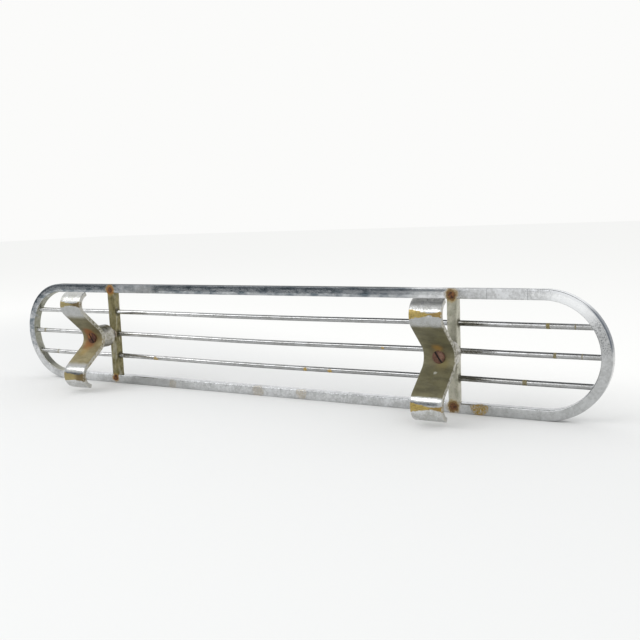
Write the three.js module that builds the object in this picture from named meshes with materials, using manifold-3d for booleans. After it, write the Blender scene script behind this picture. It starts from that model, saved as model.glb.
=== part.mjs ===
// Chromed front grille guard: a racetrack rim of square bar, three round rods, two crossbars, and on
// each crossbar a round boss that carries a bent steel hook clamp on a slotted screw.
// Millimetres, +Z up. The guard stands on its lower long side, its show side faces -Y and its clamps +Y.
import * as THREE from 'three';
import { mergeVertices } from 'three/addons/utils/BufferGeometryUtils.js';
import Module from 'manifold-3d';

// ---------- driving dimensions ----------
const guardLength = 850;
const guardHeight = 140;
const barSize = 11.6; // square bar of the rim and the crossbars
const barEdge = 1; // rounding of the bar's long edges
const rodDiameter = 6.35;
const rodSpacing = 31;
const rodEngagement = 5; // how deep a rod's end sits in the rim
const crossbarSpacing = 508;
const fitGap = 0.3; // clearance between a piece and what it is let into
const cutterOverrun = 1; // how far a cutter stands out past the surface it starts from

const tenonSize = 8;
const tenonLength = 7.5;
const pinHeadDiameter = 7.6;
const pinHeadHeight = 1;
const pinDiameter = 4;
const pinLength = 9.5;
const pinInset = 4.2; // pin centre from the rim's inner edge
const pinSides = 16;

const stripWidth = 36;
const stripThickness = 5.5;
const stripEdge = 0.6;
const valleyReach = 39; // from the rim's rear face to the strip's outer surface at the screw
// The two hooks: reach is the same distance at the crest, height is the crest above or below the screw.
const upperHook = { up: 1, reach: 76.5, height: 48.5 };
const lowerHook = { up: -1, reach: 78.6, height: 46.5 };
const valleyRadius = 15; // bend radii of the strip's outer surface
const crestRadius = 18;
const tipAngle = THREE.MathUtils.degToRad(65); // how far each crest curls back over
const tipLength = 3; // straight end of each hook
const stripHoleDiameter = 7.4;
const spotfaceDiameter = 15.8;
const spotfaceCutterLength = 12; // clears the valley's bend on both sides

const washerDiameter = 16;
const washerThickness = 1.6;
const bossDiameter = 31;
const bossFootDiameter = 11;
const bossFootLength = 1; // straight part of the foot, before the cone
const bossConeLength = 12;
const bossEdge = 1.2;
const bossHoleRunout = 1.5; // how far the blind hole goes on past the screw's end

const screwDiameter = 6.35;
const screwLength = 26;
const screwHeadDiameter = 14.4;
const screwHeadHeight = 2.6;
const screwCrownHeight = 1; // the head's rounded part, above its straight side
const screwCrownInset = 0.9;
const screwPointChamfer = 0.8;
const screwSlotWidth = 2;
const screwSlotDepth = 1.3;
const screwSlotAngle = THREE.MathUtils.degToRad(57); // slot's slope across the head

// ---------- worked out from them ----------
const rimRadius = guardHeight / 2;
const innerRadius = rimRadius - barSize;
const arcCentre = guardLength / 2 - rimRadius; // X of each end arc's centre
const crossbarX = crossbarSpacing / 2;
const barMiddle = -barSize / 2; // Y of the bar's centreline, behind the rear face at Y = 0
const valleyCentre = valleyReach + valleyRadius;
const stripBack = valleyReach - stripThickness;
const washerBack = stripBack - fitGap - washerThickness;
const bossLength = washerBack - fitGap;
const headSeat = valleyReach + fitGap;
const screwEnd = headSeat - screwLength;

// ---------- materials ----------
const chrome = new THREE.MeshStandardMaterial({ color: 0xb9bcc0, roughness: 0.18, metalness: 1 });
const rodChrome = new THREE.MeshStandardMaterial({ color: 0xc6c8ca, roughness: 0.12, metalness: 1 });
const dullPlate = new THREE.MeshStandardMaterial({ color: 0x8b8a72, roughness: 0.5, metalness: 0.9 });
const clampPlate = new THREE.MeshStandardMaterial({ color: 0x9a9986, roughness: 0.3, metalness: 1 });
const rustySteel = new THREE.MeshStandardMaterial({ color: 0x6b3f2a, roughness: 0.8, metalness: 0.4 });
const washerSteel = new THREE.MeshStandardMaterial({ color: 0x7d7b74, roughness: 0.5, metalness: 0.9 });

// ---------- solids ----------
const wasm = await Module();
wasm.setup();

// A closed geometry as a manifold-3d solid.
function solidOf(geometry) {
  const bare = geometry.clone();
  bare.deleteAttribute('normal');
  bare.deleteAttribute('uv');
  const merged = mergeVertices(bare, 1e-4);
  return new wasm.Manifold(new wasm.Mesh({
    numProp: 3,
    vertProperties: merged.attributes.position.array,
    triVerts: Uint32Array.from(merged.index.array),
  }));
}

function geometryOf(solid) {
  const mesh = solid.getMesh();
  const geometry = new THREE.BufferGeometry();
  geometry.setAttribute('position', new THREE.BufferAttribute(mesh.vertProperties, 3));
  geometry.setIndex(new THREE.BufferAttribute(mesh.triVerts, 1));
  geometry.computeVertexNormals();
  return geometry;
}

// One geometry with each of the cutters taken out of it.
function cut(geometry, cutters) {
  let solid = solidOf(geometry);
  for (const cutter of cutters) {
    solid = solid.subtract(solidOf(cutter));
  }
  return geometryOf(solid);
}

function join(geometry, additions) {
  let solid = solidOf(geometry);
  for (const addition of additions) {
    solid = solid.add(solidOf(addition));
  }
  return geometryOf(solid);
}

// A round bar along X between two places.
function cylinderAlongX(diameter, fromX, toX, y, z, sides = 24) {
  const geometry = new THREE.CylinderGeometry(diameter / 2, diameter / 2, toX - fromX, sides);
  geometry.rotateZ(Math.PI / 2);
  geometry.translate((fromX + toX) / 2, y, z);
  return geometry;
}

function cylinderAlongY(diameter, fromY, toY, x, z, sides = 24) {
  const geometry = new THREE.CylinderGeometry(diameter / 2, diameter / 2, toY - fromY, sides);
  geometry.translate(x, (fromY + toY) / 2, z);
  return geometry;
}

function boxAt(sizeX, sizeY, sizeZ, x, y, z) {
  const geometry = new THREE.BoxGeometry(sizeX, sizeY, sizeZ);
  geometry.translate(x, y, z);
  return geometry;
}

// A piece turned about the Y axis. Its profile lists [radius, y] and runs from low y to high y outside.
function turned(profile, sides = 24) {
  return new THREE.LatheGeometry(profile.map(([radius, y]) => new THREE.Vector2(radius, y)), sides);
}

function mesh(name, geometry, material) {
  const piece = new THREE.Mesh(geometry, material);
  piece.name = name;
  return piece;
}

// ---------- rim ----------
function racetrack(Path, radius) {
  const outline = new Path();
  outline.absarc(arcCentre, 0, radius, -Math.PI / 2, Math.PI / 2);
  outline.absarc(-arcCentre, 0, radius, Math.PI / 2, 1.5 * Math.PI);
  return outline;
}

// Every place where a crossbar's end meets the rim, as its X and its side (up +1, down -1).
const crossbarEnds = [-1, 1].flatMap((side) => [-1, 1].map((up) => ({ x: side * crossbarX, up })));

function rimGeometry() {
  const outline = racetrack(THREE.Shape, rimRadius);
  outline.holes.push(racetrack(THREE.Path, innerRadius));
  const ring = new THREE.ExtrudeGeometry(outline, {
    depth: barSize - 2 * barEdge,
    curveSegments: 28,
    bevelThickness: barEdge,
    bevelSize: barEdge,
    bevelOffset: -barEdge,
    bevelSegments: 1,
  });
  ring.rotateX(Math.PI / 2); // outline now in XZ, depth towards -Y
  ring.translate(0, -barEdge, 0);

  const sockets = rodLevels.flatMap(({ z }) => {
    const end = rodEnd(z) + fitGap;
    return [
      cylinderAlongX(rodDiameter + 2 * fitGap, arcCentre, end, barMiddle, z),
      cylinderAlongX(rodDiameter + 2 * fitGap, -end, -arcCentre, barMiddle, z),
    ];
  });
  const mortises = crossbarEnds.map(({ x, up }) => {
    const width = tenonSize + 2 * fitGap;
    const reach = tenonLength + fitGap;
    return boxAt(width, width, 2 * reach, x, barMiddle, up * innerRadius);
  });
  const pinHoles = crossbarEnds.map(({ x, up }) => pinHole(x, up));
  return cut(ring, [...sockets, ...mortises, ...pinHoles]);
}

function pinHole(x, up) {
  const z = up * (innerRadius + pinInset);
  return cylinderAlongY(pinDiameter + 2 * fitGap, -pinLength - fitGap, cutterOverrun, x, z, pinSides);
}

// ---------- rods ----------
const rodLevels = [
  { name: 'rod_upper', z: rodSpacing },
  { name: 'rod_middle', z: 0 },
  { name: 'rod_lower', z: -rodSpacing },
];

// X of a rod's end: past the rim's inner face by the engagement.
function rodEnd(z) {
  return arcCentre + Math.sqrt(innerRadius ** 2 - z ** 2) + rodEngagement;
}

function rodGeometry(z) {
  return cylinderAlongX(rodDiameter, -rodEnd(z), rodEnd(z), barMiddle, z);
}

// ---------- crossbars ----------
function roundedSquare(size, edge) {
  const half = size / 2;
  const flat = half - edge;
  const outline = new THREE.Shape();
  outline.absarc(flat, flat, edge, 0, Math.PI / 2);
  outline.absarc(-flat, flat, edge, Math.PI / 2, Math.PI);
  outline.absarc(-flat, -flat, edge, Math.PI, 1.5 * Math.PI);
  outline.absarc(flat, -flat, edge, 1.5 * Math.PI, 2 * Math.PI);
  return outline;
}

// A crossbar about x = 0: it butts between the rim's long sides, with a tenon let into each.
function crossbarGeometry() {
  const bar = new THREE.ExtrudeGeometry(roundedSquare(barSize, barEdge), {
    depth: 2 * innerRadius,
    curveSegments: 2,
    bevelEnabled: false,
  });
  bar.translate(0, barMiddle, -innerRadius);
  const tenonSpan = 2 * (innerRadius + tenonLength);
  const tenons = boxAt(tenonSize, tenonSize, tenonSpan, 0, barMiddle, 0);
  const rodHoles = rodLevels.map(({ z }) => {
    return cylinderAlongX(rodDiameter + 2 * fitGap, -barSize, barSize, barMiddle, z);
  });
  return cut(join(bar, [tenons]), [...rodHoles, pinHole(0, 1), pinHole(0, -1)]);
}

// The pin that holds one tenon: a low domed head on the rim's rear face and a plain shank.
function pinGeometry() {
  const head = pinHeadDiameter / 2;
  return turned([
    [0, -pinLength],
    [pinDiameter / 2, -pinLength],
    [pinDiameter / 2, 0],
    [head, 0],
    [head * 0.9, pinHeadHeight * 0.6],
    [head * 0.6, pinHeadHeight * 0.95],
    [0, pinHeadHeight],
  ], pinSides);
}

// ---------- boss ----------
// Turned boss on the crossbar's rear face: a narrow foot, a cone, a cylinder and a blind tapped hole.
function bossGeometry() {
  const outer = bossDiameter / 2;
  const foot = bossFootDiameter / 2;
  const hole = screwDiameter / 2 + fitGap;
  const holeBottom = screwEnd - bossHoleRunout;
  return turned([
    [0, 0],
    [foot, 0],
    [foot, bossFootLength],
    [outer - bossEdge, bossConeLength - bossEdge / 2],
    [outer, bossConeLength + bossEdge],
    [outer, bossLength - bossEdge],
    [outer - bossEdge, bossLength],
    [hole, bossLength],
    [hole, holeBottom],
    [0, holeBottom - hole / 2],
  ], 32);
}

// ---------- clamp ----------
// Side view of the strip, x away from the rim and y up. From its upper tip it curls over the upper
// crest, runs down a straight flank into the valley at the screw, then down to the lower hook the same way.
function stripOutline() {
  const backCrest = crestRadius - stripThickness;
  const backValley = valleyRadius + stripThickness;
  const flankUp = flankAngle(upperHook);
  const flankDown = flankAngle(lowerHook);
  const outline = new THREE.Shape();
  const bend = ({ up, reach, height }, radius, from, to) => {
    outline.absarc(reach - crestRadius, up * height, radius, up * from, up * to, up * (from - to) > 0);
  };
  outline.moveTo(...tipEnd(upperHook, crestRadius, tipLength));
  outline.lineTo(...tipEnd(upperHook, crestRadius, 0));
  bend(upperHook, crestRadius, tipAngle, -flankUp);
  outline.absarc(valleyCentre, 0, valleyRadius, Math.PI - flankUp, Math.PI + flankDown, false);
  bend(lowerHook, crestRadius, -flankDown, tipAngle);
  outline.lineTo(...tipEnd(lowerHook, crestRadius, tipLength));
  outline.lineTo(...tipEnd(lowerHook, backCrest, tipLength));
  bend(lowerHook, backCrest, tipAngle, -flankDown);
  outline.absarc(valleyCentre, 0, backValley, Math.PI + flankDown, Math.PI - flankUp, true);
  bend(upperHook, backCrest, -flankUp, tipAngle);
  outline.lineTo(...tipEnd(upperHook, backCrest, tipLength));
  outline.closePath();
  return outline;
}

// The point a given length along a hook's straight end, on the surface bent to the given radius.
function tipEnd({ up, reach, height }, radius, length) {
  const out = radius * Math.cos(tipAngle) - length * Math.sin(tipAngle);
  const over = radius * Math.sin(tipAngle) + length * Math.cos(tipAngle);
  return [reach - crestRadius + out, up * (height + over)];
}

// Slope of a hook's straight flank from the vertical: the tangent between the valley and crest bends.
function flankAngle({ reach, height }) {
  const across = reach - crestRadius - valleyCentre;
  const bends = valleyRadius + crestRadius;
  return Math.asin(bends / Math.hypot(across, height)) + Math.atan2(across, height);
}

function clampGeometry() {
  const strip = new THREE.ExtrudeGeometry(stripOutline(), {
    depth: stripWidth - 2 * stripEdge,
    curveSegments: 12,
    bevelThickness: stripEdge,
    bevelSize: stripEdge,
    bevelOffset: -stripEdge,
    bevelSegments: 1,
  });
  strip.translate(0, 0, stripEdge - stripWidth / 2);
  const alongY = new THREE.Vector3(0, 1, 0);
  const alongZ = new THREE.Vector3(0, 0, 1);
  const alongX = new THREE.Vector3(1, 0, 0);
  strip.applyMatrix4(new THREE.Matrix4().makeBasis(alongY, alongZ, alongX));
  const cutterEnd = valleyReach + spotfaceCutterLength;
  const screwHole = cylinderAlongY(stripHoleDiameter, 0, cutterEnd, 0, 0);
  const spotface = cylinderAlongY(spotfaceDiameter, valleyReach, cutterEnd, 0, 0, 32);
  return cut(strip, [screwHole, spotface]);
}

// ---------- screw and washer ----------
function screwGeometry() {
  const shank = screwDiameter / 2;
  const head = screwHeadDiameter / 2;
  const face = headSeat + screwHeadHeight;
  const turnedScrew = turned([
    [0, screwEnd],
    [shank - screwPointChamfer, screwEnd],
    [shank, screwEnd + screwPointChamfer],
    [shank, headSeat],
    [head, headSeat],
    [head, face - screwCrownHeight],
    [head - screwCrownInset, face - screwCrownHeight / 4],
    [head / 2, face],
    [0, face],
  ]);
  const slotLength = screwHeadDiameter + 2 * cutterOverrun;
  const slot = boxAt(slotLength, screwSlotDepth * 2, screwSlotWidth, 0, face, 0);
  slot.rotateY(-screwSlotAngle);
  return cut(turnedScrew, [slot]);
}

function washerGeometry() {
  const hole = screwDiameter / 2 + fitGap;
  const outer = washerDiameter / 2;
  const top = washerBack + washerThickness;
  return turned([
    [hole, washerBack],
    [outer, washerBack],
    [outer, top],
    [hole, top],
    [hole, washerBack],
  ]);
}

// ---------- assembly ----------
const guard = new THREE.Group();
// The box's middle is at Y = 0 and its underside at Z = 0.
guard.position.set(0, (barSize - lowerHook.reach) / 2, guardHeight / 2);

guard.add(mesh('rim', rimGeometry(), chrome));
for (const { name, z } of rodLevels) {
  guard.add(mesh(name, rodGeometry(z), rodChrome));
}
for (const [side, direction] of [['left', -1], ['right', 1]]) {
  const station = new THREE.Group();
  station.position.x = direction * crossbarX;
  station.add(mesh(`crossbar_${side}`, crossbarGeometry(), dullPlate));
  for (const [level, up] of [['upper', 1], ['lower', -1]]) {
    const pin = mesh(`tenon_pin_${level}_${side}`, pinGeometry(), rustySteel);
    pin.position.z = up * (innerRadius + pinInset);
    station.add(pin);
  }
  station.add(mesh(`boss_${side}`, bossGeometry(), dullPlate));
  station.add(mesh(`washer_${side}`, washerGeometry(), washerSteel));
  station.add(mesh(`clamp_${side}`, clampGeometry(), clampPlate));
  station.add(mesh(`screw_${side}`, screwGeometry(), rustySteel));
  guard.add(station);
}

export default guard;
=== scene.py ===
import math

import bmesh
import bpy
from mathutils import Matrix, Vector, noise


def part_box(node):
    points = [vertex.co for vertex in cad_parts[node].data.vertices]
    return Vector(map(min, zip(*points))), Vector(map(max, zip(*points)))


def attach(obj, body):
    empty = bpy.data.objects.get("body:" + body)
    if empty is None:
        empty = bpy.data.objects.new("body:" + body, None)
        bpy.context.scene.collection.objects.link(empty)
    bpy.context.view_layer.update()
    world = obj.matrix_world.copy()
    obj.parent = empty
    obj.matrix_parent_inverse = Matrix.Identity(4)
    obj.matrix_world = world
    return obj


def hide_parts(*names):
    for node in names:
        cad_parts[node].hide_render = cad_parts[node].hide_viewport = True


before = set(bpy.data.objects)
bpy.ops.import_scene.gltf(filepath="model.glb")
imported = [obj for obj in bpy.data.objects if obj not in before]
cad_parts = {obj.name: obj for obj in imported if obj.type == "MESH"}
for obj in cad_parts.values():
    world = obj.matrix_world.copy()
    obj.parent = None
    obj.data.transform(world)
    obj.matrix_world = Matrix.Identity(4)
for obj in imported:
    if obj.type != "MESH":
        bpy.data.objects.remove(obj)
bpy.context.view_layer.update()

# Vintage chromed front grille guard, standing on its lower long side, seen from its clamp side.
# Metres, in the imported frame: X along the guard, Y from the show side to the clamps, Z up.

MM = 0.001
SIDES = {"left": -1, "right": 1}
LEVELS = {"upper": 1, "middle": 0, "lower": -1}

noise.seed_set(1)  # without it the lumps would come out differently each time

# --- sizes, from the frame ---
rim_low, rim_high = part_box("rim")
REAR = rim_high.y  # the rim's rear face
BAR = rim_high.y - rim_low.y
MIDDLE_Y = (rim_low.y + rim_high.y) / 2
MIDDLE_Z = (rim_low.z + rim_high.z) / 2
RIM_RADIUS = (rim_high.z - rim_low.z) / 2
INNER_RADIUS = RIM_RADIUS - BAR
ARC_X = rim_high.x - RIM_RADIUS  # each end arc's centre

rod_low, rod_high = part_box("rod_upper")
ROD_RADIUS = (rod_high.z - rod_low.z) / 2
ROD_RISE = (rod_high.z + rod_low.z) / 2 - MIDDLE_Z

crossbar_low, crossbar_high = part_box("crossbar_right")
CROSSBAR_X = (crossbar_low.x + crossbar_high.x) / 2

pin_low, pin_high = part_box("tenon_pin_upper_right")
PIN_RADIUS = (pin_high.x - pin_low.x) / 2
PIN_RISE = (pin_high.z + pin_low.z) / 2 - MIDDLE_Z

boss_low, boss_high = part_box("boss_right")
clamp_low, clamp_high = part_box("clamp_right")
screw_low, screw_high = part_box("screw_right")
STRIP_WIDTH = clamp_high.x - clamp_low.x

# --- sizes of what the frame's boxes don't tell ---
BAR_EDGE = 1.0 * MM  # rounding of the bars' long edges
BAR_BEAD_LEG = 0.9 * MM  # the brazed fillets round a crossbar's end, at a crossbar and in the end arcs
ROD_BEAD_LEG = 0.7 * MM
END_BEAD_LEG = 0.9 * MM
SLOT_ANGLE = math.radians(57)  # the screws' slot, from +X towards +Z
SLOT_WIDTH = 1.9 * MM
SLOT_DEPTH = 1.3 * MM
SCREW_HOLE = 3.45 * MM  # radius in boss and washer

STRIP_THICKNESS = 5.5 * MM
STRIP_EDGE = 0.9 * MM
VALLEY_REACH = 39 * MM  # from the rear face to the strip's outer surface at the screw
VALLEY_RADIUS = 15 * MM
CREST_RADIUS = 18 * MM
UPPER_HOOK = {"up": 1, "reach": 76.5 * MM, "height": 48.5 * MM}
LOWER_HOOK = {"up": -1, "reach": 78.6 * MM, "height": 46.5 * MM}
TIP_ANGLE = math.radians(65)
TIP_LENGTH = 3 * MM
STRIP_HOLE = 3.7 * MM  # radius
HEAD_SEAT = 7.1 * MM  # radius

# How far each rod hangs below its line in the middle bay.
ROD_SAGS = {"rod_upper": 0.9 * MM, "rod_middle": 1.6 * MM, "rod_lower": 1.2 * MM}


# --- mesh helpers ---
def closed_mesh(name, points, faces, sharp_degrees=40):
    """A smooth-shaded mesh with its normals outward and its real corners kept sharp."""
    mesh = bpy.data.meshes.new(name)
    mesh.from_pydata([tuple(point) for point in points], [], faces)
    work = bmesh.new()
    work.from_mesh(mesh)
    bmesh.ops.remove_doubles(work, verts=work.verts, dist=1e-7)
    bmesh.ops.recalc_face_normals(work, faces=work.faces)
    work.to_mesh(mesh)
    work.free()
    soften(mesh, sharp_degrees)
    return mesh


def soften(mesh, sharp_degrees=40):
    mesh.polygons.foreach_set("use_smooth", [True] * len(mesh.polygons))
    mesh.set_sharp_from_angle(angle=math.radians(sharp_degrees))


def loft(name, rings, loop=False):
    """Joins rings of equally many points. Without a loop the two ends are closed by flat faces."""
    size = len(rings[0])
    points = [point for ring in rings for point in ring]
    faces = []
    for start in range(len(rings) if loop else len(rings) - 1):
        here = start * size
        there = (start + 1) % len(rings) * size
        for k in range(size):
            after = (k + 1) % size
            faces.append((here + k, here + after, there + after, there + k))
    if not loop:
        faces.append(tuple(range(size)))
        faces.append(tuple(range(len(points) - size, len(points))))
    return closed_mesh(name, points, faces)


def rounded_rectangle(width, depth, corner, corner_steps=4, side_steps=3):
    """Points around a rectangle with round corners, centred on (0, 0)."""
    half_width = width / 2 - corner
    half_depth = depth / 2 - corner
    centres = [(half_width, half_depth), (-half_width, half_depth),
               (-half_width, -half_depth), (half_width, -half_depth)]
    corners = []
    for quarter, (a, b) in enumerate(centres):
        turns = [(quarter + step / corner_steps) * math.pi / 2 for step in range(corner_steps + 1)]
        corners.append([(a + corner * math.cos(t), b + corner * math.sin(t)) for t in turns])
    outline = []
    for index, bend in enumerate(corners):
        outline += bend
        (a0, b0), (a1, b1) = bend[-1], corners[(index + 1) % 4][0]
        for step in range(1, side_steps):
            share = step / side_steps
            outline.append((a0 + (a1 - a0) * share, b0 + (b1 - b0) * share))
    return outline


def turned(name, profile, x, z, sides=64, lumps=0.0, loop=False):
    """A piece turned about a line along Y. Its profile is a list of (radius, y), closed if it loops."""
    lumps_per_metre = 900
    rings = []
    for radius, y in profile:
        ring = []
        for k in range(sides):
            turn = 2 * math.pi * k / sides
            point = Vector((x + radius * math.cos(turn), y, z + radius * math.sin(turn)))
            ring.append(point + noise.noise_vector(point * lumps_per_metre) * lumps)
        rings.append(ring)
    return loft(name, rings, loop)


def fillet_profile(centre_r, centre_y, radius, start, end, steps=5):
    """Points of a rounded corner in a turned profile, between two angles in degrees."""
    turns = [math.radians(start + (end - start) * k / steps) for k in range(steps + 1)]
    return [(centre_r + radius * math.cos(t), centre_y + radius * math.sin(t)) for t in turns]


def in_scene(name, data):
    obj = bpy.data.objects.new(name, data)
    bpy.context.scene.collection.objects.link(obj)
    return obj


def carve(mesh, cutters, sharp_degrees=40):
    """The mesh with each cutter taken out of it."""
    target = in_scene("target", mesh)
    tools = []
    for cutter in cutters:
        tool = in_scene("tool", cutter)
        cut = target.modifiers.new("cut", "BOOLEAN")
        cut.object = tool
        cut.operation = "DIFFERENCE"
        cut.solver = "EXACT"
        tools.append(tool)
    bpy.context.view_layer.update()
    depsgraph = bpy.context.evaluated_depsgraph_get()
    result = bpy.data.meshes.new_from_object(target.evaluated_get(depsgraph))
    for helper in [target, *tools]:
        bpy.data.objects.remove(helper)
    soften(result, sharp_degrees)
    return result


def add_piece(name, mesh, material, body, node=None):
    """Puts a mesh in the scene as a piece that rides on a body and may stand for a CAD node."""
    piece = in_scene(name, mesh)
    mesh.materials.clear()
    mesh.materials.append(material)
    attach(piece, body)
    if node:
        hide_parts(node)


# --- material helpers ---
class Paint:
    """One material, painted in layers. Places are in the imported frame, in metres."""

    def __init__(self, name):
        self.material = bpy.data.materials.new(name)
        self.material.use_nodes = True
        self.nodes = self.material.node_tree.nodes
        self.links = self.material.node_tree.links
        self.surface = self.nodes["Principled BSDF"]
        self.place = self.node("TexCoord", {})["Object"]
        self.x, self.y, self.z = self.node("SeparateXYZ", {0: self.place})
        self.colour = GREY_CHROME
        self.roughness = 0.5
        self.metallic = 1.0
        self.normal = None

    def feed(self, socket, value):
        """Sets an input to a number or colour, or links another node's output to it."""
        if isinstance(value, bpy.types.NodeSocket):
            self.links.new(value, socket)
        elif isinstance(value, tuple) and len(value) == 3 and len(socket.default_value) == 4:
            socket.default_value = (*value, 1)
        else:
            socket.default_value = value

    def node(self, kind, inputs, **settings):
        """Adds a node with its settings and inputs, and gives its outputs."""
        node = self.nodes.new("ShaderNode" + kind)
        for name, value in settings.items():
            setattr(node, name, value)
        for socket, value in inputs.items():
            self.feed(node.inputs[socket], value)
        return node.outputs

    def math(self, operation, a, b=0.0, c=0.0):
        return self.node("Math", {0: a, 1: b, 2: c}, operation=operation)[0]

    def both(self, first, *others):
        """The product of shares: 1 only where all of them are."""
        for other in others:
            first = self.math("MULTIPLY", first, other)
        return first

    def either(self, a, b):
        return self.math("MAXIMUM", a, b)

    def minus(self, a, b):
        return self.math("SUBTRACT", a, b)

    def plus(self, a, b, factor=1.0):
        """The first number and the second one times a factor."""
        return self.math("MULTIPLY_ADD", b, factor, a)

    def apart(self, a, b):
        return self.math("ABSOLUTE", self.minus(a, b))

    def hypot(self, a, b):
        return self.math("SQRT", self.plus(self.both(a, a), self.both(b, b)))

    def step(self, value, low, high):
        """0 at low, 1 at high, and smooth between. High may be the lower number."""
        inputs = {0: value, 1: low, 2: high, 3: 0.0, 4: 1.0}
        return self.node("MapRange", inputs, interpolation_type="SMOOTHSTEP")[0]

    def between(self, value, low, high, edge):
        """1 between two numbers and 0 outside them."""
        below = self.step(value, high + edge, high - edge)
        return self.both(self.step(value, low - edge, low + edge), below)

    def noise(self, size_mm, detail=4.0, roughness=0.7, distortion=0.0, stretch=None, out="Fac"):
        """Cloudy noise from 0 to 1 whose features are about size_mm across."""
        place = self.node("Mapping", {"Vector": self.place, "Scale": stretch})[0] if stretch else self.place
        inputs = {"Vector": place, "Scale": 1 / (size_mm * MM), "Detail": detail,
                  "Roughness": roughness, "Distortion": distortion}
        return self.node("TexNoise", inputs)[out]

    def warped(self, size_mm, amount_mm):
        """The place, moved about by noise, so that what is painted from it gets a ragged edge."""
        cloud = self.noise(size_mm, 4.0, 0.6, out="Color")
        inputs = {0: cloud, 1: (2 * amount_mm * MM,) * 3, 2: (-amount_mm * MM,) * 3}
        shift = self.node("VectorMath", inputs, operation="MULTIPLY_ADD")[0]
        return self.node("VectorMath", {0: self.place, 1: shift}, operation="ADD")[0]

    def near(self, place, centre, reach_mm, edge_mm):
        """1 close to a point, falling to 0 at reach_mm from it over the last edge_mm."""
        distance = self.node("VectorMath", {0: place, 1: centre}, operation="DISTANCE")["Value"]
        return self.step(distance, reach_mm * MM, (reach_mm - edge_mm) * MM)

    def mix(self, share, a, b):
        return self.node("Mix", {0: share, 6: a, 7: b}, data_type="RGBA")[2]

    def blend(self, share, a, b):
        """The same for numbers."""
        return self.node("Mix", {0: share, 2: a, 3: b}, data_type="FLOAT")[0]

    def bump(self, height, depth_mm, under=None):
        inputs = {"Height": height, "Distance": depth_mm * MM}
        if under:
            inputs["Normal"] = under
        return self.node("Bump", inputs)[0]

    def lay(self, share, colour=None, strength=1.0, roughness=None, metallic=None):
        """Lays a layer where share is 1. The strength only thins its colour."""
        if colour is not None:
            tinted = share if strength == 1.0 else self.both(share, strength)
            self.colour = self.mix(tinted, self.colour, colour)
        if roughness is not None:
            self.roughness = self.blend(share, self.roughness, roughness)
        if metallic is not None:
            self.metallic = self.blend(share, self.metallic, metallic)

    def finish(self):
        layers = {"Base Color": self.colour, "Roughness": self.roughness, "Metallic": self.metallic}
        if self.normal:
            layers["Normal"] = self.normal
        for socket, value in layers.items():
            self.feed(self.surface.inputs[socket], value)
        return self.material


# Colours, linear.
BRIGHT_CHROME = (0.70, 0.71, 0.72)
HIGHLIGHT_CHROME = (0.84, 0.85, 0.86)
HAZED_CHROME = (0.48, 0.485, 0.485)
GREY_CHROME = (0.36, 0.365, 0.36)
BLUE_GREY_CHROME = (0.26, 0.28, 0.30)
DEEP_BLUE_CHROME = (0.14, 0.17, 0.19)
BLUE_BLACK = (0.09, 0.11, 0.14)
DARK_TOP_REFLECTION = (0.13, 0.14, 0.15)
CRACK = (0.12, 0.13, 0.14)
PIT = (0.07, 0.065, 0.055)
OLIVE = (0.30, 0.29, 0.20)
DEEP_OLIVE = (0.11, 0.10, 0.06)
PALE_STREAK = (0.52, 0.50, 0.42)
GOLD = (0.44, 0.32, 0.075)
OCHRE = (0.40, 0.27, 0.07)
BROWN = (0.15, 0.08, 0.025)
RUST = (0.27, 0.105, 0.022)
DARK_RUST = (0.05, 0.02, 0.011)
BARE_STEEL_AND_GLINT = (0.32, 0.20, 0.145)
SLOT_SHADE = (0.012, 0.008, 0.006)
BAND_BROWN = (0.09, 0.07, 0.030)
BAND_GOLD = (0.30, 0.25, 0.09)


def worn_chrome(paint, haze_mm, bright, hazed, polish, pit_loss=0.6):
    """Old plate: clouded patches, fine pits and hairline scratches. The pits lose some of the metal."""
    cloud = paint.noise(haze_mm, 5.0, 0.62, 0.4)
    fine_cloud = paint.noise(haze_mm / 6, 4.0, 0.65)
    haze = paint.step(paint.plus(cloud, fine_cloud, 0.9), 0.75, 1.15)
    pit_field = paint.step(paint.noise(0.9, 2.0, 0.5), 0.66, 0.74)
    pit_zone = paint.step(paint.noise(22.0, 3.0, 0.6), 0.42, 0.62)
    pits = paint.both(pit_field, pit_zone)
    scratch = paint.step(paint.noise(5.0, 2.0, 0.5, stretch=(0.12, 1.0, 9.0)), 0.62, 0.70)
    paint.colour = paint.mix(haze, bright, hazed)
    paint.roughness = paint.blend(haze, polish, 0.24)
    paint.metallic = paint.minus(1.0, paint.both(pits, pit_loss))
    paint.lay(paint.both(scratch, 0.4), roughness=0.35)
    paint.lay(pits, PIT, 0.7, roughness=0.6)
    ripple = paint.bump(paint.noise(7.0, 2.0, 0.5), 0.025)
    paint.normal = paint.bump(paint.minus(paint.noise(1.2, 3.0, 0.6), pits), 0.022, ripple)


def add_fixing_rust(paint):
    """At each crossbar-to-rim fixing: a dark core, an orange-brown halo and a thin yellow stain."""
    halo_reaches = {(1, 1): 7.8, (1, -1): 5.8, (-1, 1): 7.4, (-1, -1): 7.4}
    place = paint.warped(4.0, 3.4)
    for (side, up), reach in halo_reaches.items():
        centre = (side * CROSSBAR_X, REAR, MIDDLE_Z + up * PIN_RISE)
        grain = paint.noise(1.1)
        stain = paint.near(place, centre, reach * 1.35, reach * 0.7)
        spread = paint.near(place, centre, reach, reach * 0.35)
        core = paint.near(place, centre, reach * 0.55, reach * 0.275)
        paint.lay(stain, OCHRE, 0.85, roughness=0.72)
        paint.lay(spread, RUST if side > 0 else BROWN, paint.step(grain, 0.25, 0.5))
        paint.lay(paint.both(spread, 0.9), metallic=0.1)
        paint.lay(core, DARK_RUST, 0.92)


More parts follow.
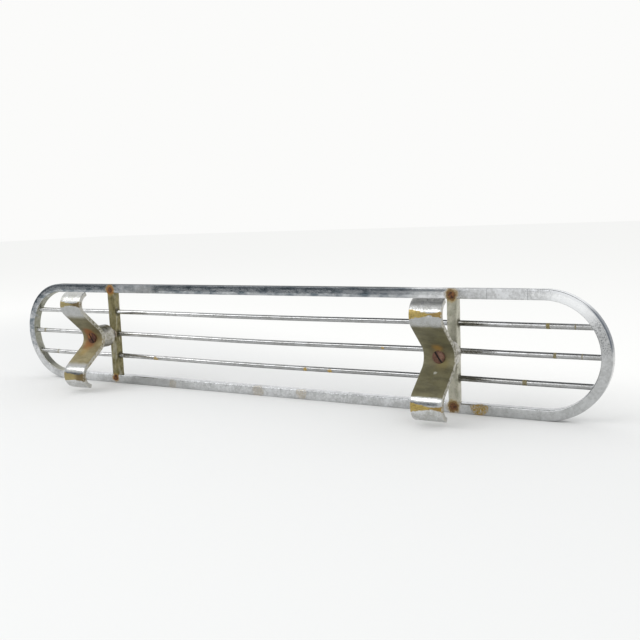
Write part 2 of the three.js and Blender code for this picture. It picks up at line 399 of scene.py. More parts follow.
# The bottom bar's yellow-brown patches: X, Z, reach in millimetres, strength. Then the top bar's cracks.
RIM_PATCHES = [(-0.284, 0.0062, 9.0, 0.95), (-0.277, 0.0085, 5.0, 0.9), (-0.291, 0.0085, 5.0, 0.9),
               (-0.055, 0.0075, 9.0, 0.35), (0.010, 0.006, 10.0, 0.3), (0.150, 0.005, 8.0, 0.25)]
RIM_CRACKS = (-0.2935, -0.3380)
TOP_BAR_FROM = (0.090, 0.110)  # the Z over which the top bar's own looks fade in


def grey_rim_plate(paint):
    """Greyer plate towards the left end and low on the right, a mottle, and a painted highlight on the
    upper bend of the left end.
    """
    left_end = paint.step(paint.plus(paint.x, paint.noise(30.0, 3.0, 0.55), 60 * MM), -0.20, -0.26)
    left_end = paint.both(left_end, paint.blend(paint.step(paint.z, 0.118, 0.130), 0.45, 0.0))
    low = paint.step(paint.z, 30 * MM, 14 * MM)
    low_right = paint.both(paint.between(paint.x, 0.13, 0.25, 0.04), low)
    paint.lay(paint.either(left_end, paint.both(low_right, 0.6)), GREY_CHROME)
    mottle = paint.step(paint.noise(1.9), 0.48, 0.70)
    paint.lay(mottle, GREY_CHROME, 0.30)
    # Painted highlight: a bright patch on the left end's upper bend, where a window would shine in the
    # plate.
    shoulder_highlight = paint.near(paint.warped(12.0, 8.0), (-0.385, REAR, 0.124), 40.0, 30.0)
    paint.lay(shoulder_highlight, HIGHLIGHT_CHROME)


def rim_tarnish_and_reflection(paint):
    """Blue-grey streaks on the top bar and the right end's upper half, hazed over beside each crossbar: a
    tarnished mottle whose blue-grey tone is partly a painted reflection of a dark room.
    """
    streaks = paint.noise(5.0, 4.0, 0.65, stretch=(0.35, 1.0, 1.0))
    dark_run = paint.step(paint.x, -0.215, -0.20)
    top_bar = paint.step(paint.z, *TOP_BAR_FROM)
    high = paint.blend(paint.step(paint.x, 0.30, 0.36), top_bar, paint.step(paint.z, 0.030, 0.070))
    strength = paint.blend(paint.step(streaks, 0.36, 0.60), 0.45, 1.0)
    tarnish_and_reflection = paint.both(dark_run, high, strength)
    for side, film in ((-1, 0.62), (1, 0.0)):
        gone = paint.minus(side * CROSSBAR_X, paint.x)
        hazy = paint.both(paint.between(gone, 13 * MM, 80 * MM, 9 * MM), top_bar)
        tarnish_and_reflection = paint.both(tarnish_and_reflection, paint.blend(hazy, 1.0, 0.45))
        paint.lay(hazy, roughness=0.45)
        paint.lay(paint.both(hazy, film), metallic=0.1)
    # Partly painted reflection: the blue-grey and deep blue tones stand in for a dark room mirrored in the
    # plate, over a real mottle.
    paint.lay(tarnish_and_reflection, BLUE_GREY_CHROME)
    paint.lay(tarnish_and_reflection, DEEP_BLUE_CHROME, paint.step(streaks, 0.52, 0.66))


def rim_dull_and_dark_reflections(paint):
    """Painted dark reflection on the top bar's upward side, a dulled right inner curve and a painted dark
    reflection streak down the left end.
    """
    # Painted reflection: the top bar's upward face is darkened as a dark ceiling would show in it.
    upward = paint.step(paint.z, rim_high.z - 1.0 * MM, rim_high.z - 0.4 * MM)
    top = paint.both(upward, paint.step(paint.x, -0.22, -0.16))
    paint.lay(top, DARK_TOP_REFLECTION, 0.85, roughness=0.6)
    past_arc_centre = paint.either(paint.minus(paint.math("ABSOLUTE", paint.x), ARC_X), 0.0)
    radius = paint.hypot(past_arc_centre, paint.minus(paint.z, MIDDLE_Z))
    inside = paint.step(radius, INNER_RADIUS + 1.1 * MM, INNER_RADIUS + 0.3 * MM)
    cloud = paint.step(paint.noise(9.0, 4.0, 0.6), 0.2, 0.5)
    dull = paint.both(inside, paint.step(paint.x, ARC_X - 0.02, ARC_X + 0.01), cloud)
    paint.lay(dull, OLIVE, 0.7, roughness=0.42)
    # Painted reflection: a blue-black band along the left end's outer edge and rounded corner, as a dark
    # room would mirror there.
    outer_edge = paint.step(radius, RIM_RADIUS - 1.6 * MM, RIM_RADIUS - 0.9 * MM)
    left_end = paint.step(paint.x, -ARC_X - 0.022, -ARC_X - 0.034)
    streak = paint.both(outer_edge, left_end, paint.between(paint.z, 0.078, 0.122, 0.008))
    paint.lay(streak, BLUE_BLACK, 0.85)


def rim_wear(paint):
    """Ragged patches on the bottom bar, a dark pitted stretch on the left end and hairline cracks."""
    ragged = paint.noise(1.6)
    place = paint.warped(5.0, 4.0)
    for x, z, reach, strength in RIM_PATCHES:
        patch = paint.near(place, (x, REAR, z), reach, 3.0)
        patch = paint.both(patch, paint.step(ragged, 0.42, 0.50), strength)
        paint.lay(patch, OCHRE, roughness=0.55)
    worn = paint.near(place, (-0.417, REAR, 0.092), 26.0, 14.0)
    worn = paint.both(worn, paint.step(paint.noise(1.4), 0.50, 0.60))
    shifted = paint.plus(paint.x, ragged, 1.5 * MM)
    cracks = 0.0
    for x in RIM_CRACKS:
        cracks = paint.either(cracks, paint.between(shifted, x, x + 0.4 * MM, 0.2 * MM))
    cracks = paint.both(cracks, paint.step(paint.z, 0.100, 0.110))
    paint.lay(paint.either(worn, cracks), CRACK, 0.75, roughness=0.5)


def rim_finish():
    """Worn chrome: hazed silver, dark along the top partly from painted reflection, with tarnished patches
    low on the bar.
    """
    paint = Paint("rim chrome")
    worn_chrome(paint, 16.0, BRIGHT_CHROME, HAZED_CHROME, 0.11)
    grey_rim_plate(paint)
    rim_tarnish_and_reflection(paint)
    rim_dull_and_dark_reflections(paint)
    rim_wear(paint)
    add_fixing_rust(paint)
    return paint.finish()


# Rust bands right round a rod: X, half width in millimetres, strength.
ROD_BANDS = {
    "rod_upper": [(-0.359, 2.1, 1.0), (-0.387, 0.6, 0.9)],
    "rod_middle": [(-0.366, 1.7, 0.9), (-0.394, 0.6, 0.9), (0.394, 1.5, 0.8)],
    "rod_lower": [(-0.334, 2.4, 0.9), (0.370, 1.0, 0.9)],
}
# How dull each rod is beside each crossbar.
ROD_DULLS = {
    "rod_upper": {"left": 0.75, "right": 0.1},
    "rod_middle": {"left": 0.7, "right": 0.5},
    "rod_lower": {"left": 0.8, "right": 0.8},
}
# Patches on one side: X, side (-1 front to 1 rear), millimetres below the rod's middle, size.
ROD_BLOTCHES = {
    "rod_upper": [],
    "rod_middle": [(-0.167, 1, 1.0, 2.4)],
    "rod_lower": [(0.180, 0.6, 2.5, 5.0), (-0.060, 1, 2.0, 3.4), (-0.095, 0.9, 2.0, 3.6)],
}


def rod_finish(name, level):
    """Greyed plate, brighter to the right, with rust bands and blotches, dull beside the crossbars."""
    paint = Paint(f"{name} chrome")
    brighter = paint.step(paint.x, 0.02, 0.16)
    bright = paint.mix(brighter, (0.44, 0.445, 0.45), (0.68, 0.68, 0.68))
    hazed = paint.mix(brighter, (0.33, 0.33, 0.32), (0.46, 0.46, 0.45))
    worn_chrome(paint, 18.0, bright, hazed, 0.09, pit_loss=0.5)
    ragged = paint.noise(0.9)
    shifted = paint.plus(paint.x, paint.noise(3.0, 3.0, 0.6), 2.0 * MM)
    shifted = paint.minus(shifted, 1.0 * MM)
    band_tone = paint.mix(paint.step(ragged, 0.42, 0.62), BAND_BROWN, BAND_GOLD)
    for x, half_mm, strength in ROD_BANDS[name]:
        band = paint.between(shifted, x - half_mm * MM, x + half_mm * MM, 0.5 * MM)
        band = paint.both(band, paint.step(ragged, 0.26, 0.46), strength)
        paint.lay(band, band_tone, roughness=0.7, metallic=0.2)
    place = paint.warped(3.0, 2.0)
    for x, y_share, drop_mm, size in ROD_BLOTCHES[name]:
        centre = (x, MIDDLE_Y + y_share * ROD_RADIUS, MIDDLE_Z + level * ROD_RISE - drop_mm * MM)
        blotch = paint.both(paint.near(place, centre, size, size * 0.4), paint.step(ragged, 0.3, 0.5))
        paint.lay(blotch, OCHRE, roughness=0.65, metallic=0.3)
    # Olive dullness that starts at each crossbar and fades out to its left.
    mottle = paint.step(paint.noise(5.0, 4.0, 0.65), 0.25, 0.6)
    for side, strength in ROD_DULLS[name].items():
        gone = paint.minus(SIDES[side] * CROSSBAR_X, paint.x)
        dull = paint.both(paint.step(gone, 46 * MM, 12 * MM), paint.step(gone, -BAR, 0.0), mottle, strength)
        paint.lay(dull, DEEP_OLIVE, roughness=0.42)
    return paint.finish()


def crossbar_finish():
    """Dull plate gone olive-grey, pitted and streaked down its length, browner on the right bar."""
    paint = Paint("crossbar plate")
    cloud = paint.noise(9.0, 5.0, 0.65)
    streak = paint.noise(3.5, 4.0, 0.6, stretch=(1.0, 1.0, 0.16))
    fleck = paint.step(paint.noise(1.3, 3.0, 0.6), 0.55, 0.66)
    brown_bar = paint.step(paint.x, -0.1, 0.1)
    base = paint.mix(brown_bar, (0.54, 0.525, 0.435), (0.27, 0.24, 0.12))
    deep = paint.mix(brown_bar, (0.385, 0.38, 0.30), (0.14, 0.12, 0.05))
    paint.colour = paint.mix(paint.step(cloud, 0.38, 0.64), base, deep)
    paint.roughness = paint.blend(paint.step(streak, 0.4, 0.7), 0.48, 0.32)
    paint.metallic = paint.blend(fleck, 0.8, 0.4)
    paint.lay(paint.step(streak, 0.5, 0.64), PALE_STREAK, 0.5)
    paint.lay(fleck, DEEP_OLIVE, 0.5)
    # Rust creeping out of the holes that the rods pass through.
    place = paint.warped(3.0, 2.2)
    for side in SIDES.values():
        for level in LEVELS.values():
            for face in (-1, 1):
                centre = (side * CROSSBAR_X + face * BAR / 2, MIDDLE_Y, MIDDLE_Z + level * ROD_RISE)
                paint.lay(paint.near(place, centre, 6.6, 2.6), DEEP_OLIVE, 0.7, roughness=0.65)
    add_fixing_rust(paint)
    grain = paint.bump(paint.noise(0.8, 3.0, 0.65), 0.10)
    paint.normal = paint.bump(paint.minus(cloud, fleck), 0.10, grain)
    return paint.finish()


def boss_finish():
    """Grey metal, mottled, with painted shade over its top and underside, and rust at the joint to the
    crossbar.
    """
    paint = Paint("boss plate")
    cloud = paint.noise(6.0, 5.0, 0.65)
    fleck = paint.step(paint.noise(1.4, 3.0, 0.65), 0.52, 0.66)
    paint.colour = paint.mix(paint.step(cloud, 0.35, 0.7), (0.60, 0.58, 0.53), (0.28, 0.26, 0.19))
    paint.roughness = paint.blend(fleck, 0.28, 0.6)
    paint.metallic = paint.blend(fleck, 0.9, 0.4)
    rise = paint.apart(paint.z, MIDDLE_Z)
    # Painted shade: the boss's top and underside are darkened as on a lit cylinder.
    top_and_bottom_shade = paint.step(paint.plus(rise, cloud, 8 * MM), 13 * MM, 20 * MM)
    paint.lay(top_and_bottom_shade, (0.10, 0.095, 0.08), 0.75)
    paint.lay(fleck, DEEP_OLIVE, 0.5)
    foot = paint.step(paint.y, REAR + 6 * MM, REAR)
    paint.lay(foot, BROWN, 0.6)
    paint.normal = paint.bump(paint.noise(1.0, 3.0, 0.6), 0.12, paint.bump(cloud, 0.2))
    return paint.finish()


def steel_finish():
    """Plain dull steel of the hidden washers."""
    paint = Paint("washer steel")
    cloud = paint.noise(4.0, 4.0, 0.6)
    paint.colour = paint.mix(paint.step(cloud, 0.4, 0.65), (0.40, 0.39, 0.36), (0.20, 0.15, 0.10))
    paint.roughness = paint.blend(cloud, 0.3, 0.65)
    paint.metallic = 0.9
    paint.normal = paint.bump(cloud, 0.05)
    return paint.finish()


def rusty_paint(name, dark, light):
    """Rough rust with dark hollows."""
    paint = Paint(name)
    cloud = paint.noise(3.0, 5.0, 0.7)
    grain = paint.noise(0.7)
    paint.colour = paint.mix(paint.step(cloud, 0.38, 0.62), dark, light)
    paint.lay(paint.step(grain, 0.54, 0.68), (0.035, 0.015, 0.01), 0.5)
    paint.normal = paint.bump(grain, 0.12, paint.bump(cloud, 0.25))
    return paint


def fixing_finish():
    paint = rusty_paint("fixing rust", (0.034, 0.015, 0.009), (0.20, 0.080, 0.022))
    paint.roughness = 0.8
    paint.metallic = 0.1
    return paint.finish()


def screw_finish(side):
    """Rusted screw with patches worn to bare metal, their lighter colour partly a painted glint, and
    painted shade in its slot.
    """
    warm = side == "right"
    x = SIDES[side] * CROSSBAR_X
    if warm:
        dark, light, rubbed_and_glint = (0.050, 0.017, 0.009), (0.10, 0.032, 0.016), 0.1
    else:
        dark, light, rubbed_and_glint = (0.080, 0.036, 0.022), (0.15, 0.070, 0.044), 0.3
    paint = rusty_paint(f"screw rust {side}", dark, light)
    # Partly painted highlight: lighter, shinier patches of bare metal whose colour also stands in for
    # glints.
    glint = paint.both(paint.step(paint.noise(3.4, 2.0, 0.5), 0.50, 0.64), rubbed_and_glint)
    paint.roughness = paint.blend(glint, 0.78, 0.42)
    paint.metallic = paint.blend(glint, 0.15, 0.55)
    paint.lay(glint, BARE_STEEL_AND_GLINT)
    if warm:
        rust_side = (x + 3.6 * MM, screw_high.y, MIDDLE_Z + 3.2 * MM)
        creep = paint.near(paint.warped(3.0, 2.0), rust_side, 5.4, 3.4)
        paint.lay(creep, RUST, 0.85)
    # Painted shade: the slot's inside is darkened near black.
    along_x = paint.both(paint.minus(paint.x, x), math.sin(SLOT_ANGLE))
    along_z = paint.both(paint.minus(paint.z, MIDDLE_Z), math.cos(SLOT_ANGLE))
    slot_shade = paint.step(paint.apart(along_x, along_z), SLOT_WIDTH * 0.68, SLOT_WIDTH * 0.45)
    deep = paint.step(paint.y, screw_high.y - 0.15 * MM, screw_high.y - 0.45 * MM)
    paint.lay(paint.both(slot_shade, deep), SLOT_SHADE, 0.95)
    return paint.finish()


# --- clamp materials ---
# Stains round each screw: millimetres right and up from it, size in millimetres, colour, strength.
SCREW_BLOOMS = {
    "right": [(0, 0, 21, (0.17, 0.115, 0.034), 0.92), (4, 8, 13, RUST, 1.0), (5, -9, 13, RUST, 0.9),
              (5, -17, 11, OCHRE, 0.45), (1, 0, 14, (0.12, 0.042, 0.014), 0.95)],
    "left": [(0, 0, 17, (0.15, 0.11, 0.05), 0.6), (0, 11, 9, (0.29, 0.17, 0.04), 0.95),
             (-5, -7, 11, (0.20, 0.165, 0.06), 0.7), (0, 0, 10, (0.10, 0.06, 0.03), 0.6)],
}


class ClampPaint(Paint):
    """Paint for one clamp's strip, with the measures that its layers share. The right clamp is warmer."""

    def __init__(self, side):
        super().__init__(f"clamp plate {side}")
        self.side = side
        self.warm = side == "right"
        self.centre_x = SIDES[side] * CROSSBAR_X
        self.rise = self.minus(self.z, MIDDLE_Z)
        self.within = self.math("ABSOLUTE", self.rise)
        self.across = self.math("DIVIDE", self.minus(self.x, self.centre_x), STRIP_WIDTH / 2)
        self.upper_share = self.step(self.rise, -5 * MM, 5 * MM)
        self.ragged = self.noise(2.6, 5.0, 0.65, stretch=(0.6, 1.0, 1.0))


def lay_dull_flanks(paint):
    """Dull olive on all that lies further in than the crests. Gives the share that it covers."""
    if paint.warm:
        lower_drop, lower_fade, upper_drop, upper_fade = 3.5, 9.0, 1.0, 13.0
        pale = paint.mix(paint.upper_share, (0.31, 0.265, 0.135), (0.175, 0.155, 0.068))
        deep = paint.mix(paint.upper_share, (0.22, 0.175, 0.070), (0.105, 0.088, 0.030))
    else:
        lower_drop, lower_fade, upper_drop, upper_fade = 2.4, 1.2, 0.2, 6.0
        pale, deep = (0.17, 0.154, 0.074), (0.098, 0.088, 0.038)
    reach = paint.plus(paint.minus(paint.y, REAR + 1.5 * MM), paint.ragged, 3 * MM)
    bright_from = paint.blend(paint.upper_share, LOWER_HOOK["reach"] - lower_drop * MM,
                              UPPER_HOOK["reach"] - upper_drop * MM)
    fade = paint.blend(paint.upper_share, lower_fade * MM, upper_fade * MM)
    depth = paint.math("DIVIDE", paint.minus(bright_from, reach), fade)
    inner = paint.step(paint.within, UPPER_HOOK["height"] + 1 * MM, UPPER_HOOK["height"] - 4 * MM)
    dull = paint.both(paint.step(depth, 0.0, 1.0), inner)
    cloud = paint.noise(8.0, 5.0, 0.65, stretch=(0.45, 1.0, 1.0))
    olive = paint.mix(paint.step(cloud, 0.35, 0.68), pale, deep)
    olive = paint.mix(paint.both(paint.step(paint.ragged, 0.54, 0.70), 0.35), olive, DEEP_OLIVE)
    speck = paint.step(paint.noise(1.1, 3.0, 0.7), 0.52, 0.68)
    olive = paint.mix(paint.both(speck, 0.45), olive, DEEP_OLIVE)
    paint.lay(dull, olive, 0.95, roughness=paint.blend(cloud, 0.46, 0.66), metallic=0.55)
    return dull


def lay_crest_plate_and_reflections(paint, dull):
    """Mottled plate over the upper crest's top and under the lower one, its tone partly a painted
    reflection, pale on the right clamp and dark on the left; a painted reflection of a pale wall along the
    upper crest's top line; grey below each wedge.
    """
    crest = UPPER_HOOK["height"]
    # Partly painted reflection: the upper crest's top takes a pale tone on the right clamp and a dark one
    # on the left, as the room mirrors there.
    upper_tone, least = ((0.50, 0.50, 0.46), 0.2) if paint.warm else ((0.27, 0.27, 0.26), 0.35)
    tone = paint.mix(paint.upper_share, (0.46, 0.46, 0.44), upper_tone)
    top = paint.step(paint.within, crest + 4 * MM, crest + 7.5 * MM)
    mottle = paint.both(top, paint.blend(paint.step(paint.noise(1.5), 0.44, 0.58), least, 1.0))
    paint.lay(mottle, tone, 0.8, roughness=0.50, metallic=0.75)
    # Painted reflection: a thin pale band along the top of the upper crest, where a pale wall would mirror.
    ridge_reflection = paint.step(paint.rise, crest + 13.5 * MM, crest + 15.5 * MM)
    paint.lay(ridge_reflection, (0.62, 0.62, 0.59), 0.7)
    under = paint.both(paint.step(paint.within, crest + 1 * MM, crest - 2 * MM), 0.7)
    paint.lay(under, GREY_CHROME, paint.minus(1.0, dull))


def lay_wedges(paint):
    """A gold-brown wedge along each crest, narrowest at a waist near its middle."""
    tint = paint.mix(paint.step(paint.noise(1.6), 0.42, 0.66), GOLD, (0.20, 0.14, 0.035))
    if paint.warm:
        waist = -0.1
        tint = paint.mix(0.5, tint, (0.26, 0.23, 0.12))
        tint = paint.mix(paint.step(paint.across, 0.1, -0.5), tint, (0.13, 0.085, 0.02))
    else:
        waist = -0.3
        tint = paint.mix(paint.both(paint.step(paint.across, 0.0, -0.5), 0.6), tint, (0.20, 0.11, 0.02))
    # Millimetres: how far the wedge lies above the crest, its waist's half height, and its flare.
    upper_wedge = (1.6, 0.9, 3.3)
    lower_wedge = (-1.0, 3.6, 1.8) if paint.warm else (-0.9, 0.9, 3.3)
    spread = paint.apart(paint.across, waist)
    outer_side = paint.step(paint.y, clamp_high.y - 9 * MM, clamp_high.y - 6 * MM)
    for hook, (shift, waist_half, flare) in ((UPPER_HOOK, upper_wedge), (LOWER_HOOK, lower_wedge)):
        level = MIDDLE_Z + hook["up"] * hook["height"] + shift * MM
        offset = paint.plus(paint.minus(paint.z, level), paint.minus(paint.ragged, 0.5), 4.5 * MM)
        half = paint.plus(waist_half * MM, spread, flare * MM)
        outside = paint.minus(paint.math("ABSOLUTE", offset), half)
        wedge = paint.both(paint.step(outside, 0.35 * MM, -0.35 * MM), outer_side)
        paint.lay(wedge, tint, 0.95, roughness=0.38, metallic=0.55)


def lay_screw_stains(paint):
    """Rust round the screw, drawn out above and below it, and a pale chip below the left one."""
    def on_strip(dx, dz):
        return paint.centre_x + dx * MM, REAR + strip_reach(dz * MM), MIDDLE_Z + dz * MM

    place = paint.warped(6.0, 3.4)
    for dx, dz, size, tint, share in SCREW_BLOOMS[paint.side]:
        bloom = paint.both(paint.near(place, on_strip(dx, dz), size, size * 0.85), share)
        paint.lay(bloom, tint, roughness=0.72, metallic=0.25)
    if not paint.warm:
        chip = paint.near(paint.warped(1.6, 1.4), on_strip(0.5, -15.5), 2.3, 0.9)
        paint.lay(chip, (0.56, 0.56, 0.50), 0.75)


def clamp_finish(side):
    """Bright plate at the two crests, dull olive on the flanks and in the valley, silvery cut edges that
    also carry a painted highlight.
    """
    paint = ClampPaint(side)
    worn_chrome(paint, 8.0, BRIGHT_CHROME, (0.44, 0.44, 0.41), 0.09)
    dull = lay_dull_flanks(paint)
    lay_crest_plate_and_reflections(paint, dull)
    lay_wedges(paint)
    lay_screw_stains(paint)
    from_middle = paint.math("ABSOLUTE", paint.across)
    # Partly painted highlight: the silvery band along the strip's edges also stands in for light caught on
    # its rounded corners.
    cut_edge_and_highlight = paint.step(from_middle, 1 - 1.6 * MM / STRIP_WIDTH, 1 - 0.6 * MM / STRIP_WIDTH)
    cut_edge_and_highlight = paint.both(cut_edge_and_highlight, paint.step(paint.ragged, 0.62, 0.44))
    paint.lay(cut_edge_and_highlight, (0.50, 0.48, 0.42), 0.85, roughness=0.32)
    paint.normal = paint.bump(paint.ragged, 0.10, paint.normal)
    return paint.finish()


# --- rim ---
def racetrack():
    """Stations round the rim: a point of its centreline in XZ and the outward direction there."""
    arc_steps = 72
    straight_steps = 110
    middle_radius = RIM_RADIUS - BAR / 2
    stations = []
    for side, first in ((1, -90), (-1, 90)):
        for step in range(arc_steps + 1):
            turn = math.radians(first + 180 * step / arc_steps)
            out = Vector((math.cos(turn), 0, math.sin(turn)))
            centre = Vector((side * ARC_X, 0, MIDDLE_Z))
            stations.append((centre + out * middle_radius, out))
        out = Vector((0, 0, side))
        for step in range(1, straight_steps):
            x = side * ARC_X * (1 - 2 * step / straight_steps)
            stations.append((Vector((x, 0, MIDDLE_Z)) + out * middle_radius, out))
    return stations


def rim_mesh():
    section = rounded_rectangle(BAR, BAR, BAR_EDGE)
    rings = []
    for point, out in racetrack():
        rings.append([point + out * a + Vector((0, MIDDLE_Y + b, 0)) for a, b in section])
    return loft("rim", rings, loop=True)


# --- rods ---
def rod_sag(x, depth):
    """How far a rod hangs below its line: nothing at the crossbars, most in the middle bay."""
    if abs(x) < CROSSBAR_X:
        return depth * math.cos(math.pi * x / CROSSBAR_X / 2) ** 2
    end_bay_depth = depth * 0.2
    share = min(1, (abs(x) - CROSSBAR_X) / (rod_high.x - CROSSBAR_X))
    return end_bay_depth * math.sin(math.pi * share) ** 2


def rod_mesh(name, sag_depth):
    low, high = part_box(name)
    level = (low.z + high.z) / 2
    step_length = 6 * MM
    steps = round((high.x - low.x) / step_length)
    sides = 32
    turns = [2 * math.pi * k / sides for k in range(sides)]
    rings = []
    for step in range(steps + 1):
        x = low.x + (high.x - low.x) * step / steps
        z = level - rod_sag(x, sag_depth)
        rings.append([Vector((x, MIDDLE_Y + ROD_RADIUS * math.cos(t), z + ROD_RADIUS * math.sin(t)))
                      for t in turns])
    return loft(name, rings)


# --- crossbars ---
def crossbar_mesh(name, x):
    """Square bar between the rim's long sides, its faces a little uneven from years of weather."""
    section = rounded_rectangle(BAR, BAR, BAR_EDGE * 1.1)
    into_rim = 0.2 * MM
    low = MIDDLE_Z - INNER_RADIUS - into_rim
    high = MIDDLE_Z + INNER_RADIUS + into_rim
    waves_per_metre = 120
    wave_height = 0.12 * MM
    steps = 60
    rings = []
    for step in range(steps + 1):
        z = low + (high - low) * step / steps
        ring = []
        for a, b in section:
            point = Vector((x + a, MIDDLE_Y + b, z))
            ring.append(point + noise.noise_vector(point * waves_per_metre) * wave_height)
        rings.append(ring)
    return loft(name, rings)


# --- joints between bars ---
def bead_mesh(name, outline, seat, leg):
    """A small brazed fillet round a bar where it meets a face.

    outline(turn, grow) is a point beside the bar, seat(point, lift) the same point set on the face
    and lifted off it. The bead's section is a hollow curve with its two legs on bar and face.
    """
    around = 40
    in_bar = -0.35 * leg
    in_face = -0.3 * leg
    rings = []
    for step in range(around):
        turn = 2 * math.pi * step / around
        wobble = 1 + 0.30 * noise.noise(Vector((4 * math.cos(turn), 4 * math.sin(turn), leg * 1e4)))
        reach = leg * wobble
        section = [(in_bar, reach), (0.05 * leg, reach), (0.30 * reach, 0.42 * reach),
                   (0.9 * reach, 0.12 * reach), (reach, in_face), (in_bar, in_face)]
        rings.append([seat(outline(turn, grow), lift) for grow, lift in section])
    return loft(name, rings, loop=True)


def rod_bead(name, level_z, face_x, direction, leg):
    """Fillet round a rod. face_x(z) is the face's X at a height; direction points off the face."""
    def outline(turn, grow):
        radius = ROD_RADIUS + grow
        return Vector((0, MIDDLE_Y + radius * math.cos(turn), level_z + radius * math.sin(turn)))

    def seat(point, lift):
        return Vector((face_x(point.z) + direction * lift, point.y, point.z))

    return bead_mesh(name, outline, seat, leg)


def inner_arc_x(side):
    return lambda z: side * (ARC_X + math.sqrt(INNER_RADIUS ** 2 - (z - MIDDLE_Z) ** 2))


def bar_bead(name, x, up, leg):
    """Fillet round a crossbar's end on the rim's inner face."""
    half = BAR / 2 - 0.02 * BAR_EDGE
    power = 12  # of the curve that stands for a square with round corners
    margin = 0.2 * MM  # the fillet keeps this far from the rim's front and rear faces

    def outline(turn, grow):
        c, s = math.cos(turn), math.sin(turn)
        length = (abs(c) ** power + abs(s) ** power) ** (-1 / power) * half + grow
        return Vector((x + length * c, MIDDLE_Y + length * s, 0))

    def seat(point, lift):
        y = min(max(point.y, rim_low.y + margin), rim_high.y - margin)
        return Vector((point.x, y, MIDDLE_Z + up * (INNER_RADIUS - lift)))

    return bead_mesh(name, outline, seat, leg)


# --- fixings ---
def fixing_mesh(name):
    """Rusted head of a fixing: a low, lumpy blister on the rear face over a plain shank."""
    low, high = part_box(name)
    shank = 2 * MM
    profile = [(0, low.y), (shank, low.y), (shank, REAR - 0.4 * MM), (PIN_RADIUS, REAR - 0.3 * MM)]
    dome = (high.y - REAR) * 0.8
    dome_steps = 8
    for step in range(dome_steps + 1):
        turn = math.pi / 2 * step / dome_steps
        profile.append((PIN_RADIUS * math.cos(turn), REAR + dome * math.sin(turn)))
    return turned(name, profile, (low.x + high.x) / 2, (low.z + high.z) / 2, 40, lumps=0.22 * MM)


# --- boss, washer, screw ---
def boss_mesh(name, x):
    """Narrow foot, quick flare, cylinder with soft edges and a blind hole for the screw."""
    outer = (boss_high.x - boss_low.x) / 2
    foot = 5.5 * MM
    flare = 3 * MM
    flare_end = REAR + 14.2 * MM
    edge = 1.6 * MM
    mouth = 0.5 * MM  # chamfer at the hole's mouth
    seat = REAR - 0.3 * MM
    back = boss_high.y
    profile = [(0, seat), (foot + 1.6 * MM, seat), (foot + 0.5 * MM, REAR + 0.8 * MM),
               (foot + 0.9 * MM, REAR + 2.2 * MM)]
    profile += fillet_profile(outer - flare, flare_end, flare, -42, 0)
    profile += fillet_profile(outer - edge, back - edge, edge, 0, 90)
    profile += [(SCREW_HOLE + mouth, back), (SCREW_HOLE, back - mouth),
                (SCREW_HOLE, screw_low.y - 1.5 * MM), (0, screw_low.y - 3 * MM)]
    return turned(name, profile, x, MIDDLE_Z, 72, lumps=0.06 * MM)


def washer_mesh(name, x):
    low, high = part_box(name)
    outer = (high.x - low.x) / 2
    edge = 0.3 * MM
    profile = fillet_profile(outer - edge, low.y + edge, edge, -90, 0)
    profile += fillet_profile(outer - edge, high.y - edge, edge, 0, 90)
    profile += [(SCREW_HOLE, high.y), (SCREW_HOLE, low.y)]
    return turned(name, profile, x, MIDDLE_Z, 48, loop=True)


def slot_cutter(x, top_y, length):
    cutter = bpy.data.meshes.new("slot")
    work = bmesh.new()
    bmesh.ops.create_cube(work, size=1)
    size = Matrix.Diagonal((length, 2 * SLOT_DEPTH, SLOT_WIDTH, 1))
    turn = Matrix.Rotation(-SLOT_ANGLE, 4, "Y")
    place = Matrix.Translation((x, top_y, MIDDLE_Z))
    bmesh.ops.transform(work, matrix=place @ turn @ size, verts=work.verts)
    work.to_mesh(cutter)
    work.free()
    return cutter


def screw_mesh(name, x):
    """Round-head screw with a worn edge, pitted by rust, and a slot across the head."""
    low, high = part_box(name)
    head = (screw_high.x - screw_low.x) / 2
    shank = 3.17 * MM
    point = 0.8 * MM  # chamfer at the shank's end
    under = high.y - 2.6 * MM
    rim = 0.8 * MM  # rounding of the head's edge
    crown_radius = head - 0.7 * MM
    crown_base = under + 1.9 * MM
    crown_rise = high.y - 0.1 * MM - crown_base
    crown_steps = 6
    profile = [(0, low.y), (shank - point, low.y), (shank, low.y + point), (shank, under),
               (head - 0.3 * MM, under)]
    profile += fillet_profile(head - 0.9 * MM, under + 1.1 * MM, rim, -30, 70)
    for step in range(1, crown_steps + 1):
        share = step / crown_steps
        rise = crown_rise * math.sin(math.pi / 2 * share)
        profile.append((crown_radius * (1 - share), crown_base + rise))
    body = turned(name, profile, x, MIDDLE_Z, 64, lumps=0.10 * MM)
    return carve(body, [slot_cutter(x, high.y, head * 2.4)])


# --- clamps ---
def flank_angle(hook):
    """Slope of a hook's straight flank from the vertical."""
    across = hook["reach"] - CREST_RADIUS - VALLEY_REACH - VALLEY_RADIUS
    span = math.hypot(across, hook["height"])
    return math.asin((VALLEY_RADIUS + CREST_RADIUS) / span) + math.atan2(across, hook["height"])


